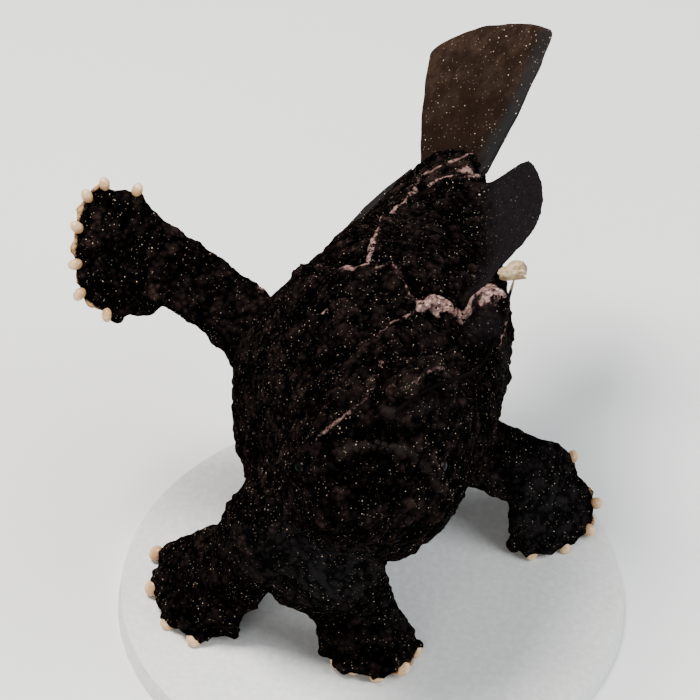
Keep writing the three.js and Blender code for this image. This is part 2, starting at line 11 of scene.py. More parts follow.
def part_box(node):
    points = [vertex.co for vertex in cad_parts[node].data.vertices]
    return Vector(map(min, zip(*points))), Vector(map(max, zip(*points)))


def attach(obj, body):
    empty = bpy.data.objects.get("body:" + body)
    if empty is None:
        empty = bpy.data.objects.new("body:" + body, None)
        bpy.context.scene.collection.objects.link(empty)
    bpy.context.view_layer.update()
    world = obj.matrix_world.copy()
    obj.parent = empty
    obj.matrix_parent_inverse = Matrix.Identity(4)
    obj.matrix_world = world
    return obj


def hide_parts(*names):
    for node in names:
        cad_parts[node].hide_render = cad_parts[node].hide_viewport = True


bl_info = {
    "name": "Frogfish model",
    "version": (1, 0, 0),
    "blender": (4, 5, 0),
    "location": "View3D > Sidebar > Frogfish",
    "description": "Builds a life-size frogfish on its base, piece by piece",
    "category": "Object",
}

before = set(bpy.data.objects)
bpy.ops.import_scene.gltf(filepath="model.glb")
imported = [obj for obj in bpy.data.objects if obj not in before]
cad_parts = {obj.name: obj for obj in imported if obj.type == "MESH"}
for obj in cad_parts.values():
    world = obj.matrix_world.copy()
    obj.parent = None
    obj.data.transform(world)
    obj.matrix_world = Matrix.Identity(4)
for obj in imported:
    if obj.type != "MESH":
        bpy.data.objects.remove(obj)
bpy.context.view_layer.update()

BODY = "root"
MM = 0.001

# What the camera sees: where it looks, how far off it stands, and the picture's size in pixels
LOOK_AT = Vector((-5.0, 13.9, 64.4)) * MM
LOOK_DOWN = math.radians(40)
STAND_OFF = 600 * MM
FOCAL_PIXELS = 2658
PICTURE = 700
SENSOR_WIDTH = 36

# Lamps of the stage: place, size, power and colour
LAMPS = {
    "key": ((-0.32, 0.12, 0.95), 0.4, 21.0, (1.0, 0.97, 0.93)),
    "fill": ((0.75, -0.25, 0.6), 0.6, 11.0, (0.88, 0.95, 1.0)),
    "front": ((-0.35, -0.75, 0.45), 0.6, 3.0, (1.0, 0.97, 0.94)),
}
LAMPS_FACE = Vector((0, 0.01, 0.06))
SKY_COLOUR = (0.80, 0.83, 0.86, 1)
SKY_STRENGTH = 0.35

SKIN_MARGIN = 0.2 * MM  # how much the solids grow before they are joined, so that their thin cuts close
WART_SPACING = 3.3 * MM
WART_RADIUS = (0.8, 2.2)
RINGED_SHARE = 0.15
LUMP_SIZE = 4.2 * MM
ROOT_PULL = 1.3 * MM  # how near the skin a fin's root is drawn into it
FILLET_REACH = 7 * MM  # how far from its root the dorsal fin is rounded into the flank
LOBE_REACH = 3 * MM  # how near the dorsal fin's solid its own colour shows
BAIT_LOBES = 5

# The solids that one skin takes the place of
FLESH = (
    "head", "lower_jaw", "torso", "tail", "pectoral_arm_right", "pectoral_arm_left", "pelvic_arm_right",
    "pelvic_arm_left", "pectoral_fin_right", "pectoral_fin_left", "pelvic_fin_right", "pelvic_fin_left",
    "dorsal_spine_second", "dorsal_spine_third", "dorsal_fin",
)

# Paths over the skin, as seen by the camera, in pixels of the picture, with the ridge's half width in millimetres
# and how far it is worn pale
WORN_RIMS = {
    "crest_low": (0.6, 0.5, ((384, 336), (392, 326), (405, 318), (419, 311))),
    "crest": (0.8, 0.9, (
        (419, 311), (430, 301), (440, 298), (450, 308), (460, 317), (468, 313), (475, 299), (484, 290), (494, 289),
        (502, 296),
    )),
    "flank_low": (0.7, 0.7, ((346, 270), (356, 272), (366, 266), (371, 252), (375, 243))),
    "flank": (0.45, 0.6, ((375, 243), (384, 220), (400, 206), (414, 192), (420, 180))),
    "tail_root": (0.55, 0.7, ((420, 180), (434, 174), (450, 166), (462, 160), (476, 153))),
    "tail_root_low": (0.5, 0.6, ((430, 186), (444, 180), (458, 178), (470, 180), (480, 176))),
    "spine_edge": (0.35, 0.6, ((503, 298), (505, 314), (501, 332), (496, 345))),
}
# Worn spots: pixel, radius in millimetres and how far they are worn pale
WORN_PATCHES = {
    "crest": ((436, 305), 2.3, 0.95),
    "crest_saddle": ((463, 319), 1.8, 0.8),
    "third_spine": ((488, 296), 2.2, 0.9),
    "tail_root": ((468, 172), 1.8, 0.7),
    "shoulder": ((312, 281), 3.0, 0.3),
    "shoulder_low": ((300, 276), 2.4, 0.22),
    "elbow": ((262, 290), 2.2, 0.45),
    "arm_root_left": ((492, 428), 2.4, 0.3),
    "head_speck": ((325, 312), 0.8, 0.7),
    "cheek_left": ((452, 446), 2.6, 0.26),
}
# Raised folds of the skin, and below them its grooves, also as paths of pixels
FOLDS = {
    "shoulder": (
        (268, 292), (283, 278), (300, 271), (320, 269), (345, 274), (372, 271), (392, 265), (402, 279), (411, 300),
    ),
    "head_ridge": ((383, 336), (383, 364), (374, 382), (367, 403), (356, 411), (345, 418), (333, 428), (320, 436)),
    "second_spine": ((403, 389), (412, 382), (422, 374), (434, 367), (442, 366), (447, 378)),
    "brow_left": ((424, 446), (436, 439), (448, 443), (455, 452)),
    "lip_fold_a": ((414, 447), (430, 458), (441, 474), (449, 494)),
    "lip_fold_b": ((420, 441), (440, 455), (452, 474), (459, 494)),
    "cheek": ((262, 455), (264, 475), (270, 500), (272, 530)),
    "jaw": ((330, 498), (345, 512), (370, 516), (398, 508), (420, 500)),
    "chin_wrinkle_a": ((350, 600), (360, 575), (372, 548), (398, 524), (430, 500)),
    "chin_wrinkle_b": ((366, 600), (372, 576), (384, 553), (410, 534), (440, 512)),
}
# Of these folds, how far each is beaded with specks and worn pale, and which are grey-brown
BEADED = {
    "head_ridge": 1.0, "second_spine": 0.5, "lip_fold_a": 0.9, "lip_fold_b": 0.7, "brow_left": 0.5, "jaw": 0.45,
}
WORN_FOLDS = {"head_ridge": 0.5, "shoulder": 0.42, "second_spine": 0.42, "lip_fold_a": 0.3}
DULL_FOLDS = ("second_spine", "lip_fold_a")
DORSAL_ROOT = ((474, 176), (484, 196), (486, 218), (484, 244), (478, 270), (474, 292))
GROOVES = {
    "shoulder": ((286, 268), (302, 262), (320, 260), (345, 264), (372, 262), (393, 256), (409, 275), (418, 296)),
    "head_ridge": ((390, 345), (390, 366), (381, 386), (374, 406), (350, 425)),
    "third_spine": ((452, 338), (462, 352), (474, 358), (487, 352)),
    "cheek": ((256, 455), (257, 478), (262, 503), (264, 532)),
}
LIP_UPPER = (
    (326, 476), (334, 460), (350, 448), (366, 444), (382, 445), (398, 449), (412, 454), (424, 466), (434, 479),
    (443, 492),
)
MOUTH = (
    (331, 483), (342, 468), (356, 459), (372, 455), (388, 457), (402, 462), (414, 469), (423, 479), (432, 491),
    (441, 499),
)
# Round lumps of the skin: pixel and radius in millimetres
LUMPS = {
    "nostril_right": ((388, 412), 2.0),
    "nostril_left": ((418, 407), 2.3),
    "spine_foot": ((407, 364), 2.3),
    "ring": ((391, 281), 2.4),
    "chin_right": ((338, 492), 1.6),
    "chin_middle": ((385, 480), 1.6),
    "chin_left": ((408, 484), 1.5),
    "shoulder": ((345, 335), 2.6),
    "brow": ((362, 372), 1.8),
    "flank": ((455, 228), 1.8),
}
EYE_PIXELS = {"eye_right": (302, 467), "eye_left": (438, 459)}
# Smoother stretches of skin, with blue-grey shade painted on them: pixel, radius in millimetres and share
BLUE_SHADED = {
    "chest": ((318, 572), 13, 1.0),
    "pectoral_left": ((548, 505), 12, 0.85),
    "pelvic_left": ((398, 590), 8, 0.6),
    "flank_left": ((504, 372), 6, 0.7),
    "jaw_left": ((452, 520), 6, 0.5),
}
MOUTH_PIXEL = (386, 482)
# Blue-grey shade painted on the fins' folded edges
FIN_SHADE_STRIPS = {
    "caudal_fin": ((550, 32), (540, 62), (526, 95), (510, 125), (496, 150), (490, 170)),
    "anal_fin": ((415, 172), (392, 184), (368, 204), (348, 226)),
}
BAIT_PIXEL = (514, 272)
SPINE_FACE_PIXEL = (487, 328)

# Tips of the paired fins: radius, length past it and share of width along the edge, and the pixel each one is at
TOES = {
    "pectoral_fin_right": (1.35, 0.4, 1.0, (
        (138, 188), (104, 182), (86, 194), (75, 226), (73, 265), (78, 296), (107, 317),
    )),
    "pectoral_fin_left": (1.3, 0.5, 1.15, (
        (573, 455), (598, 503), (591, 531), (565, 550), (531, 555), (514, 545),
    )),
    "pelvic_fin_right": (1.35, 0.6, 1.45, ((155, 552), (150, 588), (167, 624), (194, 642))),
    "pelvic_fin_left": (1.2, 0.6, 1.7, ((336, 663), (352, 669), (378, 677), (404, 669), (417, 650))),
}


class FrogfishSizes(bpy.types.PropertyGroup):
    """Sizes of the fish's skin."""

    skin_grain: FloatProperty(
        name="Skin grain", description="Distance between points of the skin", default=0.00068,
        min=0.0005, max=0.003, precision=5, subtype="DISTANCE", unit="LENGTH",
    )
    wart_count: IntProperty(
        name="Warts", description="How many warts the skin carries", default=1500, min=0, max=6000,
    )
    wart_height: FloatProperty(
        name="Wart height", description="Height of the tallest warts", default=0.0006,
        min=0.0, max=0.003, precision=5, subtype="DISTANCE", unit="LENGTH",
    )
    seed: IntProperty(name="Seed", description="Starting number for the warts' places", default=7, min=0)


class FrogfishColours(bpy.types.PropertyGroup):
    """Colours of the fish, its base and the floor."""

    skin: FloatVectorProperty(
        name="Skin", description="Black of the skin", default=(0.0045, 0.0031, 0.0028),
        size=3, min=0, max=1, subtype="COLOR",
    )
    # Painted sheen: reddish brown on the tops of the skin's knobs, patchy with broad noise
    flush: FloatVectorProperty(
        name="Knob sheen", description="Reddish brown where the skin is thinner", default=(0.022, 0.013, 0.0108),
        size=3, min=0, max=1, subtype="COLOR",
    )
    worn: FloatVectorProperty(
        name="Worn rims", description="Pale pink of the worn ridges", default=(0.62, 0.46, 0.42),
        size=3, min=0, max=1, subtype="COLOR",
    )
    speck: FloatVectorProperty(
        name="Specks", description="Pale specks all over the skin", default=(0.66, 0.52, 0.39),
        size=3, min=0, max=1, subtype="COLOR",
    )
    fin: FloatVectorProperty(
        name="Fin", description="Brown of the tail fin", default=(0.032, 0.019, 0.0135),
        size=3, min=0, max=1, subtype="COLOR",
    )
    toe: FloatVectorProperty(
        name="Fin tips", description="Cream of the tips of the paired fins", default=(0.74, 0.53, 0.31),
        size=3, min=0, max=1, subtype="COLOR",
    )
    lobe: FloatVectorProperty(
        name="Dorsal fin", description="Purple-grey of the dorsal fin", default=(0.0082, 0.007, 0.0082),
        size=3, min=0, max=1, subtype="COLOR",
    )
    lip: FloatVectorProperty(
        name="Lip", description="Grey-brown of the lip and the nostrils", default=(0.0100, 0.0077, 0.0067),
        size=3, min=0, max=1, subtype="COLOR",
    )
    # Blue-grey shade painted on the fins' folded edges
    fin_fold_shade: FloatVectorProperty(
        name="Fin edge", description="Blue-grey of the fins' folded edges", default=(0.0135, 0.0145, 0.0155),
        size=3, min=0, max=1, subtype="COLOR",
    )
    # Blue-grey shade painted on the throat, the chest and the fish's left side
    blue_shade: FloatVectorProperty(
        name="Throat", description="Blue-grey of the smooth throat", default=(0.0105, 0.0102, 0.0110),
        size=3, min=0, max=1, subtype="COLOR",
    )
    base: FloatVectorProperty(
        name="Base", description="Base under the feet", default=(0.74, 0.735, 0.71),
        size=3, min=0, max=1, subtype="COLOR",
    )
    floor: FloatVectorProperty(
        name="Floor", description="Floor around the model", default=(0.80, 0.80, 0.785),
        size=3, min=0, max=1, subtype="COLOR",
    )


class Value:
    """One output socket of a material's nodes, with arithmetic."""

    def __init__(self, paint, socket):
        self.paint = paint
        self.socket = socket

    def math(self, operation, *others):
        return self.paint.node("ShaderNodeMath", {"operation": operation}, dict(enumerate((self, *others))))

    def __add__(self, other):
        return self.math("ADD", other)

    def __mul__(self, other):
        return self.math("MULTIPLY", other)

    def __sub__(self, other):
        return self.math("SUBTRACT", other)

    def __rsub__(self, other):
        return self.paint.node("ShaderNodeMath", {"operation": "SUBTRACT"}, {0: other, 1: self})

    __radd__ = __add__
    __rmul__ = __mul__

    def step(self, low, high):
        """0 below low, 1 above high, smooth between."""
        return self.paint.node(
            "ShaderNodeMapRange", {"interpolation_type": "SMOOTHSTEP"},
            {"Value": self, "From Min": low, "From Max": high, "To Min": 0.0, "To Max": 1.0},
        )


class Paint:
    """A material made of nodes, with its shader's sockets."""

    def __init__(self, name):
        self.material = bpy.data.materials.new(name)
        self.material.use_nodes = True
        self.tree = self.material.node_tree
        self.shader = self.tree.nodes["Principled BSDF"]
        self.object_place = self.node("ShaderNodeTexCoord", output="Object")

    def node(self, kind, settings=None, inputs=None, output=0):
        made = self.tree.nodes.new(kind)
        for key, value in (settings or {}).items():
            setattr(made, key, value)
        for key, value in (inputs or {}).items():
            if isinstance(value, Value):
                self.tree.links.new(value.socket, made.inputs[key])
            else:
                made.inputs[key].default_value = value
        return Value(self, made.outputs[output])

    def colour(self, rgb):
        return (*rgb, 1.0)

    def shaded(self, rgb, shares):
        return self.colour([c * share for c, share in zip(rgb, shares)])

    def mix(self, factor, low, high):
        return self.node("ShaderNodeMix", {"data_type": "RGBA"}, {0: factor, 6: low, 7: high}, output=2)

    def noise(self, size, detail=3.0, roughness=0.55, stretch=None):
        place = self.object_place
        if stretch:
            place = self.node("ShaderNodeMapping", inputs={"Vector": place, "Scale": stretch})
        return self.node(
            "ShaderNodeTexNoise",
            inputs={"Vector": place, "Scale": 1 / size, "Detail": detail, "Roughness": roughness},
        )

    def warped(self, size, amount):
        """The object's own coordinates, shifted a little to and fro."""
        shift = self.node(
            "ShaderNodeTexNoise", inputs={"Vector": self.object_place, "Scale": 1 / size}, output="Color",
        )
        shift = self.node("ShaderNodeVectorMath", {"operation": "SCALE"}, {0: shift, "Scale": amount})
        return self.node("ShaderNodeVectorMath", {"operation": "ADD"}, {0: self.object_place, 1: shift})

    def cells(self, size, output="Distance", place=None):
        inputs = {"Vector": place or self.object_place, "Scale": 1 / size}
        return self.node("ShaderNodeTexVoronoi", inputs=inputs, output=output)

    def dots(self, size, radius, share):
        """Round dots: radius as a share of the cell, share of the cells that hold one."""
        chance = self.node("ShaderNodeSeparateColor", inputs={0: self.cells(size, "Color")})
        bright = Value(self, chance.socket.node.outputs["Green"])
        inside = 1.0 - self.cells(size).step(radius * 0.6, radius)
        return inside * chance.math("LESS_THAN", share) * (bright * 0.75 + 0.25)

    def attribute(self, name):
        return self.node("ShaderNodeAttribute", {"attribute_name": name}, output="Fac")

    def bump(self, height, distance, strength):
        return self.node("ShaderNodeBump", inputs={"Height": height, "Distance": distance, "Strength": strength})

    def finish(self, **sockets):
        for key, value in sockets.items():
            name = key.replace("_", " ")
            if isinstance(value, Value):
                self.tree.links.new(value.socket, self.shader.inputs[name])
            else:
                self.shader.inputs[name].default_value = value
        return self.material


def deselect():
    if bpy.context.object and bpy.context.object.mode != "OBJECT":
        bpy.ops.object.mode_set(mode="OBJECT")
    bpy.ops.object.select_all(action="DESELECT")


def pick(*pieces):
    deselect()
    for piece in pieces:
        piece.select_set(True)
    bpy.context.view_layer.objects.active = pieces[0]


def apply(piece, kind, **settings):
    modifier = piece.modifiers.new(kind.title(), kind)
    for key, value in settings.items():
        setattr(modifier, key, value)
    pick(piece)
    bpy.ops.object.modifier_apply(modifier=modifier.name)


def copy_of(node):
    """A copy of one of the solids, its loose triangles merged."""
    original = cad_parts[node]
    piece = original.copy()
    piece.data = original.data.copy()
    piece.parent = None
    piece.matrix_world = Matrix.Identity(4)
    bpy.context.scene.collection.objects.link(piece)
    pick(piece)
    bpy.ops.object.mode_set(mode="EDIT")
    bpy.ops.mesh.select_all(action="SELECT")
    bpy.ops.mesh.remove_doubles(threshold=1e-6)
    bpy.ops.object.mode_set(mode="OBJECT")
    piece.data.materials.clear()
    return piece


def soften(piece, levels, sharp=50):
    """Rounds a copy's flats and keeps the edges of its cuts."""
    pick(piece)
    bpy.ops.object.mode_set(mode="EDIT")
    bpy.ops.mesh.select_all(action="SELECT")
    bpy.ops.mesh.tris_convert_to_quads()
    bpy.ops.mesh.select_all(action="DESELECT")
    bpy.ops.mesh.select_mode(type="EDGE")
    bpy.ops.mesh.edges_select_sharp(sharpness=math.radians(sharp))
    bpy.ops.transform.edge_crease(value=1.0)
    bpy.ops.object.mode_set(mode="OBJECT")
    apply(piece, "SUBSURF", levels=levels, render_levels=levels)


def join(pieces, name):
    pick(*pieces)
    bpy.ops.object.join()
    joined = bpy.context.object
    joined.name = name
    joined.data.name = name
    return joined


def places(mesh):
    co = np.empty(len(mesh.vertices) * 3)
    mesh.vertices.foreach_get("co", co)
    return co.reshape(-1, 3)


def move_to(mesh, co):
    mesh.vertices.foreach_set("co", co.ravel())
    mesh.update()


def outward(mesh):
    normals = np.empty(len(mesh.vertices) * 3)
    mesh.vertex_normals.foreach_get("vector", normals)
    return normals.reshape(-1, 3)


def store(mesh, name, values):
    layer = mesh.attributes.get(name) or mesh.attributes.new(name, "FLOAT", "POINT")
    layer.data.foreach_set("value", np.clip(values, 0, 1).astype(np.float32))


def finished(piece, slot, material, *nodes):
    """Puts a piece on the fish in place of its solids."""
    piece.data.materials.clear()
    piece.data.materials.append(material)
    pick(piece)
    bpy.ops.object.shade_smooth()
    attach(piece, BODY)
    if nodes:
        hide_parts(*nodes)


def camera_axes():
    up = Vector((0, math.sin(LOOK_DOWN), math.cos(LOOK_DOWN)))
    back = Vector((0, -math.cos(LOOK_DOWN), math.sin(LOOK_DOWN)))
    return Vector((1, 0, 0)), up, back


def line_of_sight(pixel):
    """The camera's place, and the way from it through a pixel of the picture."""
    right, up, back = camera_axes()
    half = PICTURE / 2
    return LOOK_AT + back * STAND_OFF, (right * (pixel[0] - half) - up * (pixel[1] - half)) / FOCAL_PIXELS - back


class Sight:
    """Finds where a pixel of the picture falls on a piece, or else the place on it that is nearest."""

    def __init__(self, piece):
        self.co = places(piece.data)
        self.tree = BVHTree.FromObject(piece, bpy.context.evaluated_depsgraph_get())

    def on(self, pixel):
        eye, ray = line_of_sight(pixel)
        found = self.tree.ray_cast(eye, ray.normalized())[0]
        return found or beside(pixel, self.co)

    def along(self, pixels):
        return [self.on(pixel) for pixel in pixels]


def beside(pixel, co):
    """The place in line with a pixel that is as far off as the nearest of the given points."""
    eye, ray = (np.array(part) for part in line_of_sight(pixel))
    reach = (co - eye) @ ray / (ray @ ray)
    nearest = np.argmin(np.linalg.norm(co - eye - reach[:, None] * ray, axis=1))
    return eye + reach[nearest] * ray


def distance_to_line(co, line):
    """Distance from each point to a line through the given places."""
    points = np.array([tuple(p) for p in line])
    nearest = np.full(len(co), 1e9)
    for start, end in zip(points, points[1:]):
        step = np.linalg.norm(end - start)
        if step < 1e-9:
            continue
        direction = (end - start) / step
        reach = np.clip((co - start) @ direction, 0, step)
        nearest = np.minimum(nearest, np.linalg.norm(co - start - reach[:, None] * direction, axis=1))
    return nearest


def bell(distance, width):
    return np.exp(-((distance / width) ** 2))


def roughness_of(co, size, seed, octaves=3):
    """Fractal noise at each point, about -1 to 1."""
    shift = Vector((seed * 13.7, seed * 7.3, seed * 3.1))
    return np.array([
        noise.fractal(Vector(p) / size + shift, 0.9, 2.0, octaves, noise_basis="PERLIN_ORIGINAL") for p in co
    ])


def knobbles_of(co, size):
    """Rounded knobs packed side by side, 1 on a knob and 0 between."""
    return np.array([1 - min(1.0, noise.voronoi(Vector(p) / size)[0][0] * 1.5) for p in co])


def distance_to(co, place):
    return np.linalg.norm(co - np.array(place), axis=1)


def spread(co, count, seed, allowed):
    """Places picked from the skin's points, spread evenly."""
    random = np.random.default_rng(seed)
    order = random.permutation(np.flatnonzero(allowed > 0))
    taken = set()
    chosen = []
    for i in order:
        key = tuple(np.floor(co[i] / WART_SPACING).astype(int))
        if key in taken or random.random() > allowed[i]:
            continue
        taken.add(key)
        chosen.append(i)
        if len(chosen) >= count:
            break
    return np.array(chosen), random


class FROGFISH_OT_stage(bpy.types.Operator):
    """Make the camera, the lights and the floor"""

    bl_idname = "frogfish.stage"
    bl_label = "Stage"

    def execute(self, context):
        colours = context.scene.frogfish_colours
        right, up, back = camera_axes()
        camera = bpy.data.cameras.new("camera")
        camera.lens = SENSOR_WIDTH * FOCAL_PIXELS / PICTURE
        camera.sensor_width = SENSOR_WIDTH
        camera.clip_start = 0.01
        camera.clip_end = 10
        seen_from = bpy.data.objects.new("camera", camera)
        context.scene.collection.objects.link(seen_from)
        turn = Matrix((right, up, back)).transposed().to_4x4()
        seen_from.matrix_world = Matrix.Translation(LOOK_AT + back * STAND_OFF) @ turn
        context.scene.camera = seen_from

        deselect()
        bpy.ops.mesh.primitive_plane_add(size=6, location=(0, 0, 0))
        floor = context.object
        floor.name = "floor"
        paint = Paint("floor")
        dim = [c * 0.97 for c in colours.floor]
        shade = paint.mix(paint.noise(0.4, 2.0), paint.colour(colours.floor), paint.colour(dim))
        floor.data.materials.append(paint.finish(Base_Color=shade, Roughness=0.9))

        for name, lamp in LAMPS.items():
            self.lamp(name, *lamp)
        world = bpy.data.worlds.new("studio")
        world.use_nodes = True
        world.node_tree.nodes["Background"].inputs["Color"].default_value = SKY_COLOUR
        world.node_tree.nodes["Background"].inputs["Strength"].default_value = SKY_STRENGTH
        context.scene.world = world
        return {"FINISHED"}

    def lamp(self, name, place, size, power, colour):
        light = bpy.data.lights.new(name, "AREA")
        light.size = size
        light.energy = power
        light.color = colour
        lit_from = bpy.data.objects.new(name, light)
        bpy.context.scene.collection.objects.link(lit_from)
        lit_from.location = Vector(place)
        lit_from.rotation_euler = (Vector(place) - LAMPS_FACE).to_track_quat("Z", "Y").to_euler()


class FROGFISH_OT_skin(bpy.types.Operator):
    """Make the one skin of head, trunk, tail root, limbs and spines"""

    bl_idname = "frogfish.skin"
    bl_label = "Skin"

    def execute(self, context):
        sizes = context.scene.frogfish_sizes
        pieces = []
        for node in FLESH:
            piece = copy_of(node)
            soften(piece, 1)
            apply(piece, "DISPLACE", strength=SKIN_MARGIN, mid_level=0.0)
            pieces.append(piece)
        skin = join(pieces, "skin")
        apply(skin, "REMESH", mode="VOXEL", voxel_size=sizes.skin_grain)
        apply(skin, "SMOOTH", factor=0.5, iterations=14)
        apply(skin, "DISPLACE", strength=-SKIN_MARGIN, mid_level=0.0)
        self.fillet(skin)
        self.shape(skin, sizes)
        finished(skin, "skin", self.material(context.scene.frogfish_colours), *FLESH)
        return {"FINISHED"}

    def fillet(self, skin):
        """Rounds the hollow where the dorsal fin leaves the flank."""
        co = places(skin.data)
        gap = distance_to_line(co, Sight(skin).along(DORSAL_ROOT))
        near = skin.vertex_groups.new(name="dorsal_root")
        for i in np.flatnonzero(gap < FILLET_REACH):
            near.add([int(i)], float(bell(gap[i], 4 * MM)), "REPLACE")
        apply(skin, "SMOOTH", factor=0.8, iterations=60, vertex_group="dorsal_root")

    def shape(self, skin, sizes):
        mesh = skin.data
        co = places(mesh)
        sight = Sight(skin)
        worn = np.zeros(len(co))
        lift = np.zeros(len(co))
        calm = np.zeros(len(co))
        broad = roughness_of(co, 9 * MM, 1, 3)
        fine = roughness_of(co, 2.4 * MM, 2, 3)
        knobs = knobbles_of(co, 1.7 * MM)
        beads = np.zeros(len(co))
        dull = np.zeros(len(co))
        for width, share, pixels in WORN_RIMS.values():
            gap = distance_to_line(co, sight.along(pixels))
            gap = gap * (1 + 0.6 * fine + 0.5 * broad)
            lift += (0.35 + 0.6 * knobs) * MM * share * bell(gap, 1.2 * width * MM)
            worn = np.maximum(worn, share * bell(gap, width * MM))
        for pixel, radius, share in WORN_PATCHES.values():
            gap = distance_to(co, sight.on(pixel)) * (1 + 0.5 * fine)
            near = bell(gap, radius * MM)
            lift += 1.1 * knobs * MM * near * share
            worn = np.maximum(worn, share * near)
        for name, pixels in FOLDS.items():
            gap = distance_to_line(co, sight.along(pixels))
            lift += 0.7 * MM * bell(gap, 0.85 * MM)
            rough = gap * (1 + 0.6 * fine + 0.6 * broad)
            worn = np.maximum(worn, WORN_FOLDS.get(name, 0.2) * bell(rough, 0.5 * MM))
            if name in DULL_FOLDS:
                dull = np.maximum(dull, 0.8 * bell(rough, 0.8 * MM))
            beads = np.maximum(beads, BEADED.get(name, 0) * bell(gap, 0.8 * MM))
        for pixels in GROOVES.values():
            gap = distance_to_line(co, sight.along(pixels))
            lift -= 0.9 * MM * bell(gap, 1.0 * MM)
        gap = distance_to_line(co, sight.along(LIP_UPPER))
        lift += 0.45 * MM * bell(gap, 1.0 * MM)
        lip = bell(gap * (1 + 0.5 * fine), 0.9 * MM)
        dull = np.maximum(dull, lip)
        gap = distance_to_line(co, sight.along(MOUTH))
        lift -= 0.8 * MM * bell(gap, 0.6 * MM)
        inner = bell(distance_to(co, sight.on(MOUTH_PIXEL)), 8 * MM)
        pits = knobbles_of(co + (0.6 * MM * fine)[:, None], 2.3 * MM) - 0.45
        lift += 1.0 * MM * inner * pits
        for name, (pixel, radius) in LUMPS.items():
            gap = distance_to(co, sight.on(pixel))
            if name.startswith("nostril"):
                dull = np.maximum(dull, 0.9 * bell(gap, radius * MM))
            lift += 0.9 * MM * bell(gap, 0.8 * radius * MM) - 0.45 * MM * bell(gap - 1.25 * radius * MM, 0.5 * MM)
        for pixel in EYE_PIXELS.values():
            gap = distance_to(co, sight.on(pixel))
            calm = np.maximum(calm, bell(gap, 2.4 * MM))
            lift += 0.35 * MM * bell(gap - 2.6 * MM, 0.5 * MM)
        spine_face = bell(distance_to(co, sight.on(SPINE_FACE_PIXEL)), 3.8 * MM)
        # Where blue-grey shade is painted: the throat, the chest and the fish's left side
        blue_shade = np.zeros(len(co))
        for pixel, radius, share in BLUE_SHADED.values():
            near = share * bell(distance_to(co, sight.on(pixel)), radius * MM)
            blue_shade = np.maximum(blue_shade, near)
            calm = np.maximum(calm, 0.75 * near * share)
        lobe = np.maximum(self.dorsal_lobe(co), 0.6 * spine_face)
        calm = np.maximum(calm, 0.95 * lobe)

        normals = outward(mesh)
        allowed = np.clip(1 - calm, 0, 1)
        chosen, random = spread(co, sizes.wart_count, sizes.seed, allowed)
        tree = KDTree(len(chosen))
        for k, i in enumerate(chosen):
            tree.insert(co[i], k)
        tree.balance()
        radius = random.uniform(*WART_RADIUS, len(chosen)) * MM
        height = random.uniform(0.15, 1.0, len(chosen)) ** 1.3 * sizes.wart_height
        ring = random.random(len(chosen)) < RINGED_SHARE
        for i, point in enumerate(co):
            _, k, gap = tree.find(point)
            share = gap / radius[k]
            if share < 1:
                dome = (1 - share * share) ** 2
                if ring[k]:
                    dome = math.exp(-(((share - 0.62) / 0.22) ** 2))
                lift[i] += height[k] * dome * (1 - calm[i])
        lumps = knobbles_of(co + (0.8 * MM * fine)[:, None], LUMP_SIZE)
        high = 0.85 * lumps + 0.3 * broad + 0.35 * lift / MM + 0.4 * inner * pits + 0.35 * lip
        lift += (0.95 * lumps + 0.5 * broad + 0.15 * fine) * MM * (1 - 0.8 * calm)
        move_to(mesh, co + normals * lift[:, None])
        fringe = np.zeros(len(co))
        for node, (*_, pixels) in TOES.items():
            solid = places(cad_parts[node].data)
            gap = distance_to_line(co, [beside(pixel, solid) for pixel in pixels])
            fringe = np.maximum(fringe, 0.8 * bell(gap, 1.05 * MM))
        for name, values in (("worn", worn), ("high", high), ("blue_shade", blue_shade), ("lobe", lobe), ("beads", beads),
                             ("dull", dull), ("fringe", fringe)):
            store(mesh, name, values)

    def dorsal_lobe(self, co):
        """1 on the dorsal fin away from its root, 0 on the body."""
        graph = bpy.context.evaluated_depsgraph_get()
        trees = {node: BVHTree.FromObject(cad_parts[node], graph) for node in ("dorsal_fin", "tail", "torso")}
        lobe = np.zeros(len(co))
        for i, point in enumerate(co):
            gap = trees["dorsal_fin"].find_nearest(point, LOBE_REACH)[3]
            if gap is not None:
                root = min(trees[node].find_nearest(point)[3] for node in ("tail", "torso"))
                lobe[i] = (1 - gap / LOBE_REACH) * min(1.0, root / (7 * MM))
        return np.clip(lobe * 1.3, 0, 1)

    def material(self, colours):
        paint = Paint("skin")
        broad = paint.noise(0.012, 3.0, 0.6)
        fine = paint.noise(0.0009, 4.0, 0.65)
        knobs = 1.0 - paint.cells(0.0015, place=paint.warped(0.002, 0.0012))
        high = paint.attribute("high")
        worn = paint.attribute("worn")
        relief = high * 0.4 + knobs * 0.45 + fine * 0.3
        # Painted sheen: reddish brown on the highest knobs, patchy with broad noise
        flush = relief.step(0.54, 0.85) * (broad.step(0.35, 0.65) * 0.7 + 0.3)
        # Painted shade: the skin darkens to near black in its hollows, where the relief is low
        hollow_shade = paint.colour([c * 0.14 for c in colours.skin])
        shade = paint.mix(relief.step(0.36, 0.58), hollow_shade, paint.colour(colours.skin))
        shade = paint.mix(flush, shade, paint.colour(colours.flush))
        dull = paint.attribute("dull") * relief.step(0.4, 0.7)
        shade = paint.mix(dull, shade, paint.colour(colours.lip))
